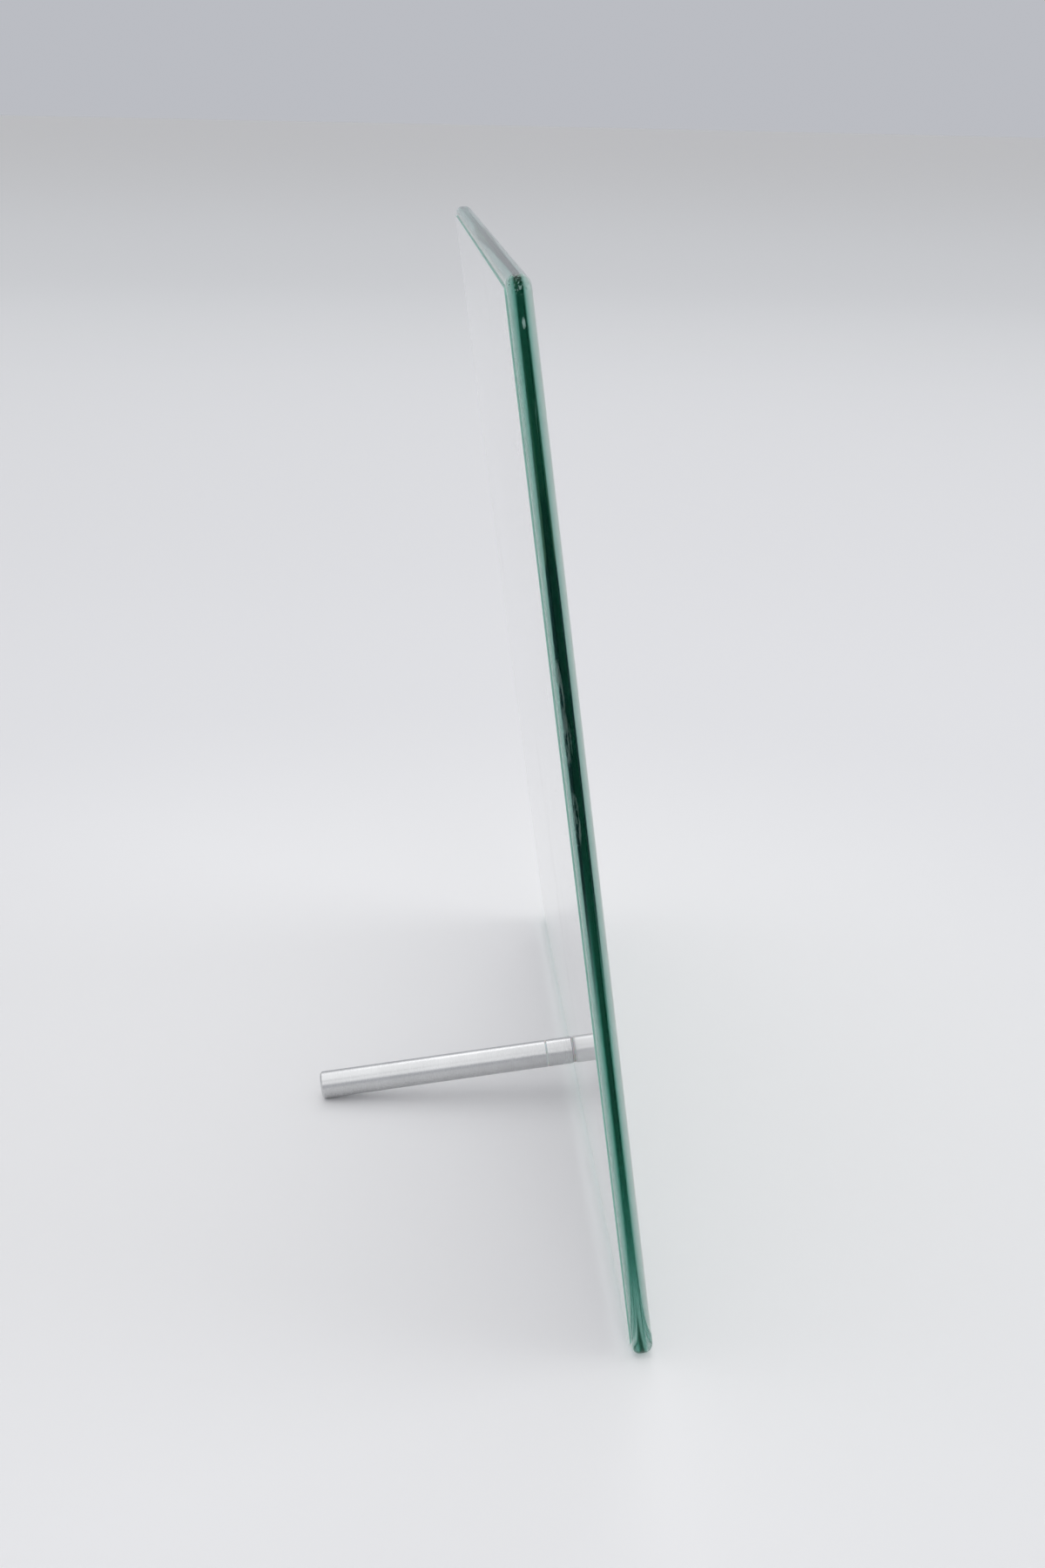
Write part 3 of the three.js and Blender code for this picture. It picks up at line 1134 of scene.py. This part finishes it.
class PICTUREFRAME_OT_stud(bpy.types.Operator):
    """Roll the thread of the stud that joins the rod to the boss"""

    bl_idname = "picture_frame.stud"
    bl_label = "Stud"

    def execute(self, context):
        settings = context.scene.picture_frame_stand
        front, back = depths("threaded_stud")
        radius, chamfer = radius_of("threaded_stud"), settings.thread_depth
        start, end = front + chamfer, back - chamfer
        stud = turned(
            "stud_thread",
            [
                (0, front),
                (radius - chamfer, front),
                (radius, start),
                *[(radius, depth) for depth in threaded_rows(start, end)],
                (radius, end),
                (radius - chamfer, back),
                (0, back),
            ],
            THREAD_STEPS,
        )
        cut_thread(stud, radius, settings.thread_depth, start, end)
        material = metal_material(
            "Zinc-plated thread", settings.thread_metal, THREAD_ROUGHNESS, THREAD_RINGS, THREAD_RELIEF
        )
        finish_turned(stud, "rod", "threaded_stud", material)
        return {"FINISHED"}


class PICTUREFRAME_OT_rod(bpy.types.Operator):
    """Turn the rod, chamfer its ends and bore the end that holds the stud"""

    bl_idname = "picture_frame.rod"
    bl_label = "Rod"

    def execute(self, context):
        settings = context.scene.picture_frame_stand
        front, back = washer_faces()[1] + BONDED_GAP, depths("stand_rod")[1]
        outer, chamfer, fine = radius_of("stand_rod"), settings.rod_chamfer, settings.joint_chamfer
        bore = radius_of("threaded_stud") + ROD_BORE_CLEARANCE
        bore_end = depths("threaded_stud")[1] + BORE_SPARE
        rod = turned(
            "turned_rod",
            [
                (0, bore_end),
                (bore, bore_end),
                (bore, front + chamfer / 2),
                (bore + chamfer / 2, front),
                (outer - fine, front),
                (outer, front + fine),
                (outer, back - chamfer),
                (outer - chamfer, back),
                (0, back),
            ],
            settings.steps,
        )
        round_edges(rod, settings.edge_round)
        roughness = settings.metal_roughness
        material = metal_material(
            "Turned aluminium rod", settings.metal, roughness, ALUMINIUM_RINGS, ALUMINIUM_RELIEF
        )
        finish_turned(rod, "rod", "stand_rod", material)
        return {"FINISHED"}


# The add-on


class PICTUREFRAME_PT_panel(bpy.types.Panel):
    """Lists the frame's pieces and their settings"""

    bl_idname = "PICTUREFRAME_PT_panel"
    bl_label = "Glass picture frame"
    bl_space_type = "VIEW_3D"
    bl_region_type = "UI"
    bl_category = "Picture frame"

    def draw(self, context):
        for title, settings in SETTINGS.items():
            box = self.layout.box()
            box.label(text=title.capitalize())
            group = getattr(context.scene, "picture_frame_" + title)
            for name in settings.__annotations__:
                box.prop(group, name)
        for operator in OPERATORS:
            self.layout.operator(operator.bl_idname)


SETTINGS = {
    "glass": GlassSettings,
    "picture": PictureSettings,
    "backing": BackingSettings,
    "stand": StandSettings,
    "stage": StageSettings,
}
OPERATORS = (
    PICTUREFRAME_OT_stage,
    PICTUREFRAME_OT_glass_plate,
    PICTUREFRAME_OT_picture_print,
    PICTUREFRAME_OT_white_backing,
    PICTUREFRAME_OT_bonding_disc,
    PICTUREFRAME_OT_boss,
    PICTUREFRAME_OT_washer,
    PICTUREFRAME_OT_stud,
    PICTUREFRAME_OT_rod,
)
CLASSES = (*SETTINGS.values(), *OPERATORS, PICTUREFRAME_PT_panel)


def register():
    for made in CLASSES:
        bpy.utils.register_class(made)
    for title, settings in SETTINGS.items():
        setattr(bpy.types.Scene, "picture_frame_" + title, PointerProperty(type=settings))


def unregister():
    for title in SETTINGS:
        delattr(bpy.types.Scene, "picture_frame_" + title)
    for made in reversed(CLASSES):
        bpy.utils.unregister_class(made)


def main():
    register()
    for operator in OPERATORS:
        family, name = operator.bl_idname.split(".")
        getattr(getattr(bpy.ops, family), name)()


if __name__ == "__main__":
    main()
